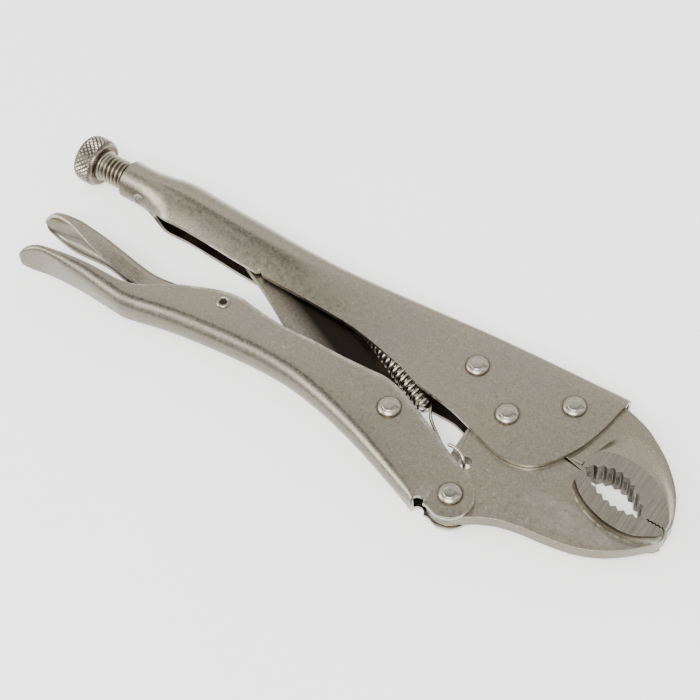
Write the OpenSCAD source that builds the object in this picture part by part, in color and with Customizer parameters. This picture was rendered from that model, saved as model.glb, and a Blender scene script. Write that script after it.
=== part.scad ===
// Curved-jaw locking pliers, lying on one side with the jaws shut and locked.
// Plan points are measured from the middle of the knob's front face: x runs along the
// adjusting screw towards the jaws, y towards the spine of the fixed handle, and z across
// the sheet. The finished model has its origin at the middle of its footprint.

/* [Adjusting screw] */
// Radius of the knurled knob
knob_r = 9; // [8.4:0.1:9.2]
// Length of the knob
knob_len = 8; // [6:0.5:9]
// Outer radius of the screw's thread
screw_r = 5.3; // [4.8:0.1:5.4]
// Distance from the knob's front face to the screw's tip
screw_len = 62.8; // [55:0.2:62.8]

/* [Sheet metal] */
// Thickness of the sheet in the body, the lower handle and the release lever
sheet = 1.6; // [1.4:0.1:1.7]
// Half the gap between the side walls where they hold the jaws
gap_half = 2.9; // [2.8:0.1:3.0]
// Outer radius of the rolled tube that holds the screw
tube_r = 7; // [6.9:0.1:7.2]

/* [Jaws] */
// Thickness of the lower jaw's plate
jaw_plate = 5.2; // [4.8:0.1:5.2]
// Thickness across the raised gripping pads
pad_thickness = 11.9; // [10:0.1:12.5]
// Distance between the coarse teeth
tooth_pitch = 2.75; // [2.5:0.05:3]
// Depth of the coarse teeth
tooth_depth = 1.1; // [0.7:0.1:1.3]

/* [Rivets] */
// Shank radius of the solid rivets
rivet_r = 3; // [2.5:0.1:3.2]
// Head radius of the solid rivets
head_r = 3.9; // [3.7:0.1:4.2]
// Height of a solid rivet's head
head_h = 1.5; // [1:0.1:1.8]
// Shank radius of the tubular rivet
tube_rivet_r = 1.9; // [1.7:0.1:2]
// Radial running clearance of the pivots
pivot_clearance = 0.06; // [0.03:0.01:0.1]

/* [Return spring] */
// Radius of the coil to the middle of the wire
coil_r = 2.35; // [2:0.05:2.4]
// Radius of the wire
wire_r = 0.5; // [0.4:0.05:0.55]
// Turns in the coil
coil_turns = 18; // [12:20]

/* [Hidden] */
$fn = 64;
wall_half = gap_half + sheet;
bore_r = rivet_r + pivot_clearance;

// Pivot and rivet places in the plan
rivet_a = [163, -3.7];
rivet_b = [198, -0.3];
pivot_c = [181, -14.4];
pivot_d = [181.2, -49.1];
pivot_e = [147.2, -32.8];
pivot_g = [76.4, -28.7];
spring_hole = [178.4, -36.2];
spring_hole_r = 2.35;
hub_r = 10;
lug_r = 7.9;

// The footprint's corners, which put the origin in its middle
tip_x = 245.4;
tail_y = -57.9;
spine_y = 12.5;
centre_x = (tip_x - knob_len) / 2;
centre_y = (tail_y + spine_y) / 2;

// Body: height of the spine, lower edge, half width, bend radius and half gap of the lips
body_spine = [[12, 6.9], [22, 7], [28, 7.9], [34, 9], [40, 9.2], [45, 8.9], [52, 8.5], [60, 8.1],
              [70, 7.7], [80, 7.2], [90, 6.9], [100, 6.85], [110, 7.2], [120, 7.8], [130, 8.5],
              [140, 9.2], [160, 10.5], [180, 11.4], [200, 12.1], [212, spine_y]];
body_edge = [[12, -7.1], [22, -7.3], [25, -7.8], [28, -8.7], [31, -9.5], [35, -10.3], [40, -10.2],
             [45, -10.1], [58, -10.7], [71, -11.5], [104, -12.1], [118, -12.8], [127, -14.2],
             [140, -17.1], [150, -20.1], [164, -22.3], [173, -24.9], [180, -27], [185, -28.4],
             [189, -28.7], [193, -28.2], [197.7, -26.3], [201.5, -22.3], [205, -16.9],
             [208, -10.3], [210.2, -1.5], [212, 8.8]];
body_half = [[12, 7], [22, 7], [28, 7.4], [36, 7.7], [50, 7.4], [60, 7.1], [80, 6.5], [110, 5.4],
             [140, 4.7], [155, 4.5], [212, 4.5]];
body_bend = [[12, 7], [22, 7], [28, 7.4], [36, 7.7], [50, 7.3], [60, 6.9], [80, 6], [110, 4.6],
             [140, 3.4], [160, 2.6], [212, 2.6]];
body_lip = [[12, 0.2], [27, 0.2], [35, 4.2], [45, 4.6], [155, 4.5], [212, 4.5]];
body_x = [11.8, 12.9, 16, 20, 22, 24, 26, 28, 30, 32, 34, 37, 40, 45, 52, 60, 70, 80, 90, 100, 110, 118,
          127, 134, 140, 145, 150, 157, 164, 173, 180, 185, 189, 193, 197.7, 201.5, 205, 208,
          210.2, 212];

// Lower handle: height of the rim, height of the web, half width and bend radius
handle_rim = [[0.5, -48.2], [2, -47.4], [4, -46.2], [7, -44.9], [10, -44.1], [15, -43.1],
              [20, -42.2], [25, -41.6], [30, -41.2], [36, -41], [41, -40.6], [46, -39.2],
              [51, -36.3], [58, -31.6], [65, -28.3], [73, -25.2], [80, -23.9], [86, -24.5],
              [93, -25.3], [100, -25.7], [112, -25], [123, -24.8], [134, -24.1], [139.6, -23.7],
              [145.5, -24.7], [153, -27.5], [164, -32.1], [173, -36.5], [180, -39.5],
              [184.2, -41.6], [187.4, -44.7], [189, -47.2], [189.4, -48]];
handle_web = [[0.5, -49.6], [4, -48.2], [7, -47], [10, -46.3], [15, -46.1], [20, -46.3],
              [25, -46.5], [30, -46.9], [36, -47.5], [41, -48], [46, -48.3], [51, -47.5],
              [58, -46], [65, -44.7], [73, -43.6], [80, -42.8], [90, -41.9], [100, -41.3],
              [112, -41.6], [123, -43.2], [134, -45.7], [145, -48.8], [160, -53.9], [170, -57.3],
              [173, tail_y], [176.5, -56.6], [181, -57.8], [185, -56.9], [187.4, -54.9],
              [189, -51.9], [189.4, -50.6]];
handle_half = [[10, 8], [25, 7.6], [45, 6.4], [60, 6], [80, 5.8], [110, 5.5], [140, 4.9],
               [160, 4.5], [190, 4.5]];
handle_bend = [[-1, 1.7], [12, 1.8], [20, 3], [30, 4], [60, 5.2], [110, 5.1], [140, 4.6],
               [160, 4], [169, 3], [174, 0.5], [190, 0.5]];
handle_x = [1, 1.5, 2.4, 3.6, 5.4, 7.5, 10, 15, 20, 25, 30, 36, 41, 46, 51, 58, 65, 73, 80, 86, 93,
            100, 112, 123, 129, 134, 139.6, 145.5, 153, 160, 165, 170, 173, 176.5, 180, 182.5,
            184.8, 187.4, 189, 189.4];
handle_tip = 9.5;

// Release lever: height of the web, free edge of the flanges, half width and bend radius
lever_web = [[-1, -31], [0, -30.4], [2, -29.4], [4, -28.9], [8, -28.2], [12, -27.7], [16, -27.7],
             [21, -28], [26, -28.4], [31, -29], [36, -29.5], [42, -30.1], [48, -30.3],
             [53, -29.8], [58, -28.9], [63, -27.8], [70, -26.2], [76, -25.5], [84, -25.4],
             [92, -26.6], [98, -28], [104, -29.8]];
lever_edge = [[-1, -33.2], [0, -32.7], [2, -32.3], [8, -32.7], [12, -32.9], [16, -32.7],
              [21, -32.4], [26, -32.5], [31, -33.3], [40, -35.4], [48, -37], [56, -37.8],
              [66, -37.2], [76, -35.4], [90, -34], [98, -33.6], [104, -33.4]];
lever_half = [[8, 8.2], [21, 7.8], [31, 6.9], [42, 5.2], [46, 4.6], [50, 4.3], [60, 4.05],
              [80, 3.85], [104, 3.6]];
lever_bend = [[-1, 1.7], [12, 2.6], [30, 3], [50, 3], [104, 2.6]];
lever_x = [0, 0.6, 1.6, 3, 5, 8, 12, 16, 21, 26, 31, 36, 42, 48, 53, 58, 63, 70, 76, 84, 92,
           98, 104];
lever_tip = 8.5;

// Jaw outlines
upper_nose = [[216.5, 8], [222, 6], [227, 3], [232.5, -1], [237.5, -5.9], [241, -10.5],
              [243.6, -15.8], [245, -20.3]];
lower_chin = [[243.9, -28.6], [241.4, -31.6], [235.8, -36.8], [229.4, -41], [222.6, -43.7],
              [214, -45.4], [206, -46.4], [198.6, -48], [192.6, -50.6]];
upper_pad_edge = [[211.2, -14.8], [214.2, -10.9], [219.7, -8.9], [228.9, -9.4], [236.5, -12.6],
                  [241.4, -17.2], [244.2, -21.5]];
lower_pad_edge = [[243.3, -28.4], [236, -31.5], [229.8, -32], [222.3, -31.1], [216.2, -28.4],
                  [211.8, -24.6]];
grip_start = 211.6;
grip_end = 237.6;
tip_line_y = -24.7;
upper_arch = 7.6;
lower_arch = 4.4;
fine_pitch = 1.25;
fine_depth = 0.35;
jaw_gap = 0.35;
side_play = 0.04;

// Smooth value at x of a curve through the points of a table
function slot_of(t, x, i = 0) = (i >= len(t) - 2 || x < t[i + 1][0]) ? i : slot_of(t, x, i + 1);
function slope_at(t, i) =
    i <= 0 || i >= len(t) - 1 ? 0 : (t[i + 1][1] - t[i - 1][1]) / (t[i + 1][0] - t[i - 1][0]);
function smooth(t, x) =
    x <= t[0][0] ? t[0][1] : x >= t[len(t) - 1][0] ? t[len(t) - 1][1] :
    let (i = slot_of(t, x), w = t[i + 1][0] - t[i][0], u = (x - t[i][0]) / w)
    let (a = slope_at(t, i) * w, b = slope_at(t, i + 1) * w)
    t[i][1] * (1 + 2 * u) * (1 - u) * (1 - u) + a * u * (1 - u) * (1 - u)
    + t[i + 1][1] * u * u * (3 - 2 * u) - b * u * u * (1 - u);

function arc(c, r, from, to, n) =
    [for (i = [0:n]) let (a = from + (to - from) * i / n) c + r * [cos(a), sin(a)]];
function reversed(list) = [for (i = [len(list) - 1:-1:0]) list[i]];
function mirrored(list) = [for (i = [len(list) - 1:-1:0]) [-list[i][0], list[i][1]]];
// Half width of a tongue with a round end, n long
function round_end(half, x, start, n) =
    half * sqrt(max(0.01, 1 - pow(max(0, start + n - x) / n, 2)));

// A sheet swept through its sections. A section lists the outer points and then as many
// inner points, both from one free edge to the other.
module sheet_sweep(sections) {
    ring = len(sections[0]);
    n = ring / 2;
    last = (len(sections) - 1) * ring;
    sides = [for (s = [0:len(sections) - 2], i = [0:ring - 1])
             let (a = s * ring + i, b = s * ring + (i + 1) % ring)
             each [[a, b, b + ring], [a, b + ring, a + ring]]];
    ends = [for (i = [0:n - 2]) let (o = i, p = i + 1, q = ring - 2 - i, r = ring - 1 - i)
            each [[o, q, p], [o, r, q], [last + o, last + p, last + q],
                  [last + o, last + q, last + r]]];
    polyhedron(points = [for (s = sections) each s], faces = concat(sides, ends), convexity = 8);
}

// Half of a rolled section: from the lip at its lower edge, round the flank and the bend,
// to the middle of the spine. The curl is 1 for a round flank and 2 for a flatter one.
function half_rolled(half, lip, spine, edge, bend, curl) =
    let (mid = spine - bend)
    concat([for (i = [0:5]) let (a = 90 - 18 * i)
            [lip + (half - lip) * pow(max(0, cos(a)), curl), mid - (mid - edge) * sin(a)]],
           [for (i = [1:6]) let (a = 15 * i) [half - bend + bend * cos(a), mid + bend * sin(a)]]);

// Half of a straight-sided channel's section, from its free edge to its spine
function half_channel(half, spine, edge, bend) =
    concat([[half, edge]], [for (i = [0:5]) let (a = 18 * i)
            [half - bend + bend * cos(a), spine - bend + bend * sin(a)]]);
// Whole section of a straight-sided channel, outer line and then inner line
function channel(half, spine, edge, bend) =
    let (out_bend = min(bend, half - 0.2, spine - edge - 0.3),
         in_half = half - sheet, in_spine = spine - sheet,
         in_bend = max(0.3, min(bend - sheet, in_half - 0.2, in_spine - edge - 0.2)))
    let (outer = half_channel(half, spine, edge, out_bend),
         inner = half_channel(in_half, in_spine, edge, in_bend))
    concat(outer, mirrored(outer), reversed(concat(inner, mirrored(inner))));

module in_place() translate([-centre_x, -centre_y, knob_r]) children();
module at_plan(p) translate([p[0], p[1], 0]) children();
module bore(p, r) at_plan(p) cylinder(h = 60, r = r, center = true);
module plate(half) translate([0, 0, -half]) linear_extrude(height = 2 * half) children();

// Body: the fixed handle, a folded channel rolled into a tube at its rear end
function body_section(x) =
    let (half = x < 12.5 ? tube_r - 0.6 : smooth(body_half, x),
         spine = x < 12.5 ? tube_r - 0.7 : smooth(body_spine, x),
         low = x < 12.5 ? 0.5 - tube_r : smooth(body_edge, x),
         bend = min(smooth(body_bend, x), half), lip = smooth(body_lip, x),
         open = min(1, max(0, (x - 27) / 10)), curl = 1 + open,
         in_half = half - sheet, in_lip = max(0.2, lip - sheet),
         in_low = low + sheet * (1 - open), in_bend = max(0.8, bend - sheet))
    let (outer = half_rolled(half, lip, spine, low, min(bend, half - 0.05, spine - low - 0.5), curl),
         inner = half_rolled(in_half, in_lip, spine - sheet, in_low,
                             min(in_bend, in_half - 0.05, spine - sheet - in_low - 0.4), curl))
    [for (p = concat(outer, mirrored(outer), reversed(concat(inner, mirrored(inner)))))
     [x, p[1], p[0]]];

module body() color([0.66, 0.63, 0.58]) in_place() {
    difference() {
        union() {
            sheet_sweep([for (x = body_x) body_section(x)]);
            spring_tab();
        }
        translate([8, 0, 0]) rotate([0, 90, 0]) cylinder(h = 24, r = screw_r + 0.05);
        for (p = [rivet_a, rivet_b, pivot_c]) bore(p, rivet_r);
        translate([108, 1.2, 0]) rotate([0, 90, 0]) cylinder(h = 8, r = 1.3, center = true);
    }
}

// Tab under the spine that holds the spring's rear hook
module spring_tab() translate([107.4, -1.4, -2.4]) cube([1.2, 7.6, 4.8]);

// Coarse teeth on an arched line: y offset of the arch and of the saw teeth at distance s
function arch(s) = 4 * s * (1 - s);
function tooth_row(rise, n, depth) =
    [for (i = [0:2 * n]) let (s = i / (2 * n), x = grip_start + (grip_end - grip_start) * s)
     [x, mouth_y(s) + rise * arch(s) - (i % 2 == 0 ? 0 : sign(rise) * depth)]];
function mouth_y(s) = -18.6 + (tip_line_y + 18.6) * s;
function fine_row(offset) =
    [for (i = [1:10]) [grip_end + i * fine_pitch / 2,
                       tip_line_y + offset + (i % 2 == 0 ? 0 : fine_depth)]];
tooth_count = round((grip_end - grip_start) / tooth_pitch);

function upper_grip() = concat(tooth_row(upper_arch, tooth_count, tooth_depth),
                               fine_row(jaw_gap / 2));
function lower_grip() = concat(tooth_row(-lower_arch, tooth_count, tooth_depth),
                               fine_row(-jaw_gap / 2));

// Upper jaw: forged plate held in the body by two rivets, with a raised gripping pad
module upper_jaw() color([0.64, 0.61, 0.56]) in_place() difference() {
    union() {
        plate(gap_half - side_play) polygon(concat(
            upper_grip(), [[245, -23.6]], reversed(upper_nose),
            [[211, 9.6], [165, 7.7]], arc(rivet_a, 7.6, 100, 215, 10),
            arc(pivot_c, hub_r + 0.35, 152, -2, 20), [[206, -17.4]]));
        plate(pad_thickness / 2) polygon(concat(
            upper_grip(), [[244.6, -24.1]], reversed(upper_pad_edge)));
        cutter_block();
    }
    bore(rivet_a, rivet_r);
    bore(rivet_b, rivet_r);
}

// Wire-cutter block beside the throat
module cutter_block() plate(pad_thickness / 2 - 0.8)
    polygon([[209, -17.3], [209.4, -12.4], [211.6, -12.8], [211.6, -16.8]]);

// Lower jaw: hooked plate that turns on the jaw pivot and carries the handle's lug
module lower_jaw() color([0.63, 0.60, 0.55]) in_place() difference() {
    union() {
        plate(jaw_plate / 2) polygon(concat(
            reversed(lower_grip()), [[206, -17.9]], arc(pivot_c, hub_r, -6, 210, 26),
            [[172.3, -26]], arc(pivot_d, lug_r, 195, 322, 16), reversed(lower_chin),
            [[244.9, -26.6], [245, -25.3]]));
        plate(pad_thickness / 2) polygon(concat(
            reversed(lower_grip()), reversed(lower_pad_edge), [[244.5, -26.2]]));
    }
    bore(pivot_c, bore_r);
    bore(pivot_d, bore_r);
    bore(spring_hole, spring_hole_r);
}

// Lower handle: folded channel, flattened into a tongue at the tail and split into two
// ears round the lower jaw's lug
function handle_section(x) =
    [for (p = channel(round_end(smooth(handle_half, x), x, 0.1, handle_tip),
                      -smooth(handle_web, x), -smooth(handle_rim, x), smooth(handle_bend, x)))
     [x, -p[1], -p[0]]];

module lower_handle() color([0.66, 0.63, 0.58]) in_place() difference() {
    sheet_sweep([for (x = handle_x) handle_section(x)]);
    translate([172.6, -70, -gap_half - 0.05]) cube([30, 40, 2 * gap_half + 0.1]);
    bore([173.6, -57.2], 1.9);
    bore(pivot_d, rivet_r);
    bore(pivot_e, rivet_r);
    bore(pivot_g, tube_rivet_r);
}

// Toggle link: flat plate from the screw's tip to the lower handle
module toggle_link() color([0.60, 0.57, 0.52]) in_place() difference() {
    plate(1.5) polygon(concat(
        arc([71.2, 0], 4.2, 180, 80, 8), [[84, 0.4], [98, -6], [112, -12.6], [124, -17.6],
        [135, -21.9]], arc(pivot_e, 8.4, 95, -110, 20), [[138, -39.4], [126, -37], [112, -30.6],
        [98.5, -23.6], [83.3, -15.4], [70.6, -9.8], [67.4, -7]]));
    bore(pivot_e, bore_r);
}

// Release lever: channel turned upside down inside the lower handle, with a spoon tail
function lever_section(x) =
    [for (p = channel(round_end(smooth(lever_half, x), x, -1, lever_tip),
                      smooth(lever_web, x), smooth(lever_edge, x), smooth(lever_bend, x)))
     [x, p[1], p[0]]];

module release_lever() color([0.65, 0.62, 0.57]) in_place() difference() {
    sheet_sweep([for (x = lever_x) lever_section(x)]);
    bore(pivot_g, tube_rivet_r + pivot_clearance);
}

// Solid rivet across the walls, half is the half width over the walls
module rivet(p, half) color([0.72, 0.70, 0.67]) in_place() at_plan(p) rotate_extrude()
    polygon([[0, -half - head_h], [2, -half - head_h], [3.2, -half - 0.85 * head_h],
             [head_r, -half - 0.4 * head_h], [head_r, -half], [rivet_r, -half], [rivet_r, half],
             [head_r, half], [head_r, half + 0.4 * head_h], [3.2, half + 0.85 * head_h],
             [2, half + head_h], [0, half + head_h]]);

// Tubular rivet with rolled ends
module lever_rivet() color([0.72, 0.69, 0.64]) in_place() at_plan(pivot_g) {
    half = smooth(handle_half, pivot_g[0]) + 0.03;
    bore_half = 1.45;
    rotate_extrude()
        polygon([[bore_half, -half - 0.55], [2.1, -half - 0.6], [2.65, -half - 0.4], [2.75, -half],
                 [tube_rivet_r, -half], [tube_rivet_r, half], [2.75, half], [2.65, half + 0.4],
                 [2.1, half + 0.6], [bore_half, half + 0.55]]);
}

// Adjusting screw: threaded shank with a rounded tip, and a collar under the knob
module adjusting_screw() color([0.62, 0.59, 0.55]) in_place() rotate([0, 90, 0])
    rotate_extrude() polygon(concat([[0, -knob_len + 2], [3, -knob_len + 2], [3, 0], [6.2, 0],
        [6.2, 1.1], [screw_r, 1.3], [screw_r, screw_len - 4]],
        [for (i = [0:4]) [3.4 + (screw_r - 3.4) * cos(22.5 * i) * 0.9,
                          screw_len - 2 + 2 * sin(22.5 * i)]], [[0, screw_len]]));

// Knurled knob, pressed on the screw's rear end
module screw_knob() color([0.66, 0.63, 0.60]) in_place() rotate([0, 90, 0]) rotate_extrude()
    polygon([[3, -knob_len + 2], [0, -knob_len + 2], [0, -knob_len + 0.4], [5.6, -knob_len],
             [knob_r - 1, -knob_len], [knob_r, -knob_len + 1], [knob_r, -0.9], [knob_r - 0.9, 0],
             [6.6, 0], [6.3, -0.6], [3, -0.6]]);

// Return spring: helix with straight legs, hooked in the body's tab and the lower jaw
coil_from = [119, -7.3];
coil_to = [156, -24.3];
hook_rear = [108, 0.2];
function along(a, b, s) = a + (b - a) * s;
function helix_point(s) =
    let (d = coil_to - coil_from, n = [-d[1], d[0]] / norm(d), a = 360 * coil_turns * s,
         c = along(coil_from, coil_to, s) + n * coil_r * cos(a))
    [c[0], c[1], coil_r * sin(a)];
spring_path = concat(
    [[108.9, 2.3, 0], [107.6, 2.0, 0], [107.2, 0.9, 0], [108.4, 0.3, 0], [111, -1.3, 0.5],
     [115.8, -3.6, 0.2]],
    [for (i = [0:coil_turns * 10]) helix_point(i / (coil_turns * 10))],
    [[158, -24.9, 0.4], [160.4, -27.6, -0.6], [168, -32.6, -2.6], [174, -35.2, -4.2],
     [177.6, -36.4, -4.1], [178.3, -36.5, -2], [178.2, -36.5, 2], [177.4, -36.2, 3.9],
     [174.4, -35.2, 4.2], [170.6, -33.7, 3.8]]);
wire_sides = 6;
function unit(v) = v / norm(v);
module wire(path, r) {
    n = len(path);
    rings = [for (i = [0:n - 1])
        let (t = unit(path[min(i + 1, n - 1)] - path[max(i - 1, 0)]),
             u = unit(cross(t, abs(t[2]) < 0.9 ? [0, 0, 1] : [0, 1, 0])), v = cross(t, u))
        each [for (k = [0:wire_sides - 1]) let (a = 360 * k / wire_sides)
              path[i] + r * (u * cos(a) + v * sin(a))]];
    sides = [for (i = [0:n - 2], k = [0:wire_sides - 1])
             let (a = i * wire_sides + k, b = i * wire_sides + (k + 1) % wire_sides)
             each [[a, b + wire_sides, b], [a, a + wire_sides, b + wire_sides]]];
    caps = [[for (k = [0:wire_sides - 1]) k],
            [for (k = [wire_sides - 1:-1:0]) (n - 1) * wire_sides + k]];
    polyhedron(points = rings, faces = concat(sides, caps), convexity = 10);
}
module return_spring() color([0.45, 0.42, 0.38]) in_place() wire(spring_path, wire_r);

body();
upper_jaw();
rivet(rivet_a, wall_half);  // jaw_rivet_rear
rivet(rivet_b, wall_half);  // jaw_rivet_front
rivet(pivot_c, wall_half);  // jaw_pivot_rivet
lower_jaw();
lower_handle();
rivet(pivot_d, wall_half);  // handle_pivot_rivet
rivet(pivot_e, smooth(handle_half, pivot_e[0] - head_r) + 0.01);  // link_rivet
toggle_link();
release_lever();
lever_rivet();
adjusting_screw();
screw_knob();
return_spring();
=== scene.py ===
"""Curved-jaw locking pliers: finished pieces and materials round the CAD frame."""
import math

import bmesh
import bpy
import numpy as np
from mathutils import Matrix, Vector


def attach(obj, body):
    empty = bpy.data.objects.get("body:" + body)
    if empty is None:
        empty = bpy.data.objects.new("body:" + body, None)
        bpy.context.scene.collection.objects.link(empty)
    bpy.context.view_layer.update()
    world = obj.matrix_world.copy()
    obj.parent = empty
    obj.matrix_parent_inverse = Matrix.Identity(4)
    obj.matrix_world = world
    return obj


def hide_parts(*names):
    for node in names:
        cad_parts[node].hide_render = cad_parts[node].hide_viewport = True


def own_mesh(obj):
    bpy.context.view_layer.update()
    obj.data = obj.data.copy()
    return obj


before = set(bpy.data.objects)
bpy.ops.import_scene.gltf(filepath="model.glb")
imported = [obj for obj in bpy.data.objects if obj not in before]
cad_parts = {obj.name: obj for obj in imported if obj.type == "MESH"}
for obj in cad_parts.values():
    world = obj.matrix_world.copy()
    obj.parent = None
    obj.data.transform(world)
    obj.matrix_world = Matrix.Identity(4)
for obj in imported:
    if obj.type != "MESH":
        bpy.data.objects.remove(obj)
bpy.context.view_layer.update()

# The plan's own millimetres: x along the screw, y to the spine, z across, from the knob's face
PLAN = np.array([118.7, -22.7, -9.0])
# Thickness of the folded sheet
SHEET = 1.6
# Rear and front jaw rivets, and the jaw pivot
RIVET_A, RIVET_B, PIVOT_C = (163, -3.7), (198, -0.3), (181, -14.4)
# Handle pivot, link rivet and release lever rivet
PIVOT_D, PIVOT_E, PIVOT_G = (181.2, -49.1), (147.2, -32.8), (76.4, -28.7)
SPRING_HOLE = (178.4, -36.2)
# Half distance between the outer faces of the walls at the jaws, and radius of a rivet head
WALL_HALF, HEAD_R = 4.5, 3.9
# Half thicknesses of the upper jaw, the lower jaw, the raised pads and the link
UPPER_HALF, LOWER_HALF, PAD_HALF, LINK_HALF = 2.9, 2.6, 5.95, 1.5
# Floor height, and the camera's place, turn about z, x and z, lens and shift
FLOOR_Z = -0.0006
CAMERA_PLACE, CAMERA_TURN = (0.2103, -0.2497, 0.5088), (0.685, 0.581, -0.103)
CAMERA_LENS, CAMERA_SHIFT = 90.94, -0.0024

# Heights and widths of the sheet sections along x, and outlines of the jaws and their pads.
# LEVER_NEAR, BODY_FAR and the two feet are not in the CAD source, and LOWER_PAD differs from it.
# Many of these numbers were worked out outside this script, so the tables are data and not a design. They
# still need redrawing from a few driving dimensions.
BODY_SPINE = [(12, 6.9), (22, 7), (28, 7.9), (34, 9), (40, 9.2), (45, 8.9), (52, 8.5), (60, 8.1),
              (70, 7.7), (80, 7.2), (90, 6.9), (100, 6.85), (110, 7.2), (120, 7.8), (130, 8.5),
              (140, 9.2), (160, 10.5), (180, 11.4), (200, 12.1), (212, 12.5)]
BODY_EDGE = [(12, -7.1), (22, -7.3), (25, -7.8), (28, -8.7), (31, -9.5), (35, -10.3), (40, -10.2),
             (45, -10.1), (58, -10.7), (71, -11.5), (104, -12.1), (118, -12.8), (127, -14.2),
             (140, -17.1), (150, -20.1), (164, -22.3), (173, -24.9), (180, -27), (185, -28.4),
             (189, -28.7), (193, -28.2), (197.7, -26.3), (201.5, -22.3), (205, -16.9),
             (208, -10.3), (210.2, -1.5), (212, 8.8)]
BODY_HALF = [(12, 7), (22, 7), (28, 7.4), (36, 7.7), (50, 7.4), (60, 7.1), (80, 6.5), (110, 5.4),
             (140, 4.7), (155, 4.5), (212, 4.5)]
BODY_BEND = [(12, 7), (22, 7), (28, 7.4), (36, 7.7), (50, 7.3), (60, 6.9), (80, 6), (110, 4.6),
             (140, 3.4), (160, 2.6), (212, 2.6)]
BODY_LIP = [(12, 0.2), (27, 0.2), (35, 4.2), (45, 4.6), (155, 4.5), (212, 4.5)]
HANDLE_RIM = [(0.5, -48.2), (2, -47.4), (4, -46.2), (7, -44.9), (10, -44.1), (15, -43.1),
              (20, -42.2), (25, -41.6), (30, -41.2), (36, -41), (41, -40.6), (46, -39.2),
              (51, -36.3), (58, -31.6), (65, -28.3), (73, -25.2), (80, -23.9), (86, -24.5),
              (93, -25.3), (100, -25.7), (112, -25), (123, -24.8), (134, -24.1), (139.6, -23.7),
              (145.5, -24.7), (153, -27.5), (164, -32.1), (173, -36.5), (180, -39.5),
              (184.2, -41.6), (187.4, -44.7), (189, -47.2), (189.4, -48)]
HANDLE_WEB = [(0.5, -49.6), (4, -48.2), (7, -47), (10, -46.3), (15, -46.1), (20, -46.3),
              (25, -46.5), (30, -46.9), (36, -47.5), (41, -48), (46, -48.3), (51, -47.5),
              (58, -46), (65, -44.7), (73, -43.6), (80, -42.8), (90, -41.9), (100, -41.3),
              (112, -41.6), (123, -43.2), (134, -45.7), (145, -48.8), (160, -53.9), (170, -57.3),
              (173, -57.9), (176.5, -56.6), (181, -57.8), (185, -56.9), (187.4, -54.9),
              (189, -51.9), (189.4, -50.6)]
HANDLE_HALF = [(10, 8), (25, 7.6), (45, 6.4), (60, 6), (80, 5.8), (110, 5.5), (140, 4.9),
               (160, 4.5), (190, 4.5)]
HANDLE_BEND = [(-1, 1.7), (12, 1.8), (20, 3), (30, 4), (60, 5.2), (110, 5.1), (140, 4.6),
               (160, 4), (169, 3), (174, 0.5), (190, 0.5)]
LEVER_WEB = [(-1, -31), (0, -30.4), (2, -29.4), (4, -28.9), (8, -28.2), (12, -27.7), (16, -27.7),
             (21, -28), (26, -28.4), (31, -29), (36, -29.5), (42, -30.1), (48, -30.3),
             (53, -29.8), (58, -28.9), (63, -27.8), (70, -26.2), (76, -25.5), (84, -25.4),
             (92, -26.6), (98, -28), (104, -29.8)]
LEVER_EDGE = [(-1, -33.2), (0, -32.7), (2, -32.3), (8, -32.7), (12, -32.9), (16, -32.7),
              (21, -32.4), (26, -32.5), (31, -33.3), (40, -35.4), (48, -37), (56, -37.8),
              (66, -37.2), (76, -35.4), (90, -34), (98, -33.6), (104, -33.4)]
LEVER_HALF = [(8, 8.2), (21, 7.8), (31, 6.9), (42, 5.2), (46, 4.6), (50, 4.3), (60, 4.05),
              (80, 3.85), (104, 3.6)]
LEVER_BEND = [(-1, 1.7), (12, 2.6), (30, 3), (50, 3), (104, 2.6)]
LEVER_NEAR = [(0, 1.9), (4, 2.2), (10, 3.4), (15, 4.8), (20, 6.1), (25, 7), (30, 7.4), (48, 7.6),
              (60, 8.8), (104, 8.8)]
BODY_FAR = [(95, 0), (108, 2.2), (125, 3.6), (140, 3.6), (150, 2.6), (160, 1.2), (168, 0)]
UPPER_NOSE = [(216.5, 8), (222, 6), (227, 3), (232.5, -1), (237.5, -5.9), (241, -10.5),
              (243.6, -15.8), (245, -20.3)]
LOWER_CHIN = [(243.9, -28.6), (241.4, -31.6), (235.8, -36.8), (229.4, -41), (222.6, -43.7),
              (214, -45.4), (206, -46.4), (198.6, -48), (192.6, -50.6)]
UPPER_PAD = [(211.2, -14.8), (214.2, -10.9), (219.7, -8.9), (228.9, -9.4), (236.5, -12.6),
             (241.4, -17.2), (244.2, -21.5)]
UPPER_FOOT = [(211.2, -15.2), (212.8, -7), (216.5, 1), (229, 0.6), (238.9, -8), (243.3, -15.4),
              (244.8, -21)]
LOWER_PAD = [(243.1, -28.2), (236.5, -31.8), (229, -32.3), (222, -30.8), (216, -27.9), (212, -24.2)]
LOWER_FOOT = [(243.7, -28.8), (236.9, -32.9), (229, -33.5), (221.5, -32), (215.2, -28.9),
              (211.1, -24.8)]


# ---------- shapes ----------
def smooth(table, x):
    """Smooth value at x of a curve through a table's points."""
    if x <= table[0][0]:
        return table[0][1]
    if x >= table[-1][0]:
        return table[-1][1]
    i = max(k for k in range(len(table) - 1) if x >= table[k][0])
    width = table[i + 1][0] - table[i][0]
    u = (x - table[i][0]) / width

    def slope(k):
        if k <= 0 or k >= len(table) - 1:
            return 0
        return (table[k + 1][1] - table[k - 1][1]) / (table[k + 1][0] - table[k - 1][0])

    a, b = slope(i) * width, slope(i + 1) * width
    return (table[i][1] * (1 + 2 * u) * (1 - u) ** 2 + a * u * (1 - u) ** 2
            + table[i + 1][1] * u * u * (3 - 2 * u) - b * u * u * (1 - u))


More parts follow.
